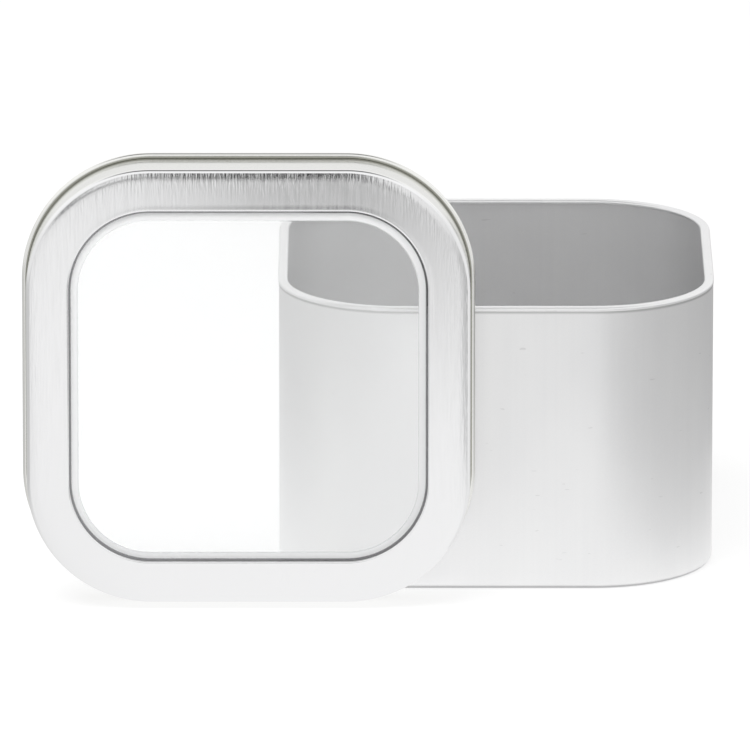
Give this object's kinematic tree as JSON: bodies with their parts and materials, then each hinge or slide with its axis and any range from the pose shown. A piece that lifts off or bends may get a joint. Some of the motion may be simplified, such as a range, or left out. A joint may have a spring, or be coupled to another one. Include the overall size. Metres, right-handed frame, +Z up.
{
  "type": "window lid tin",
  "caption": "Square seamless metal tin with rounded corners and a rolled rim, and a slip-on lid with a clear window, taken off and leaning on the tin.",
  "frame": {"origin": "middle of the underside of the tin's base", "axes": "+Z up out of the tin's mouth, +X to the right and -Y to the front, where the lid stands"},
  "size_m": [0.1706, 0.1257, 0.1112],
  "materials": {
    "satin_tinplate": "satin",
    "bright_tinplate": "bright, lightly brushed",
    "clear_plastic": "clear gloss",
    "ring_tinplate": "satin"
  },
  "bodies": {
    "tin": {"tin_body": "satin_tinplate"},
    "lid": {"lid_frame": "bright_tinplate", "window_pane": "clear_plastic", "retaining_ring": "ring_tinplate"}
  },
  "joints": [
    {"name": "lid_lift", "type": "slide", "parent": "tin", "child": "lid", "axis": [0, 0, 1], "range_m": [0, 0.08]}
  ]
}
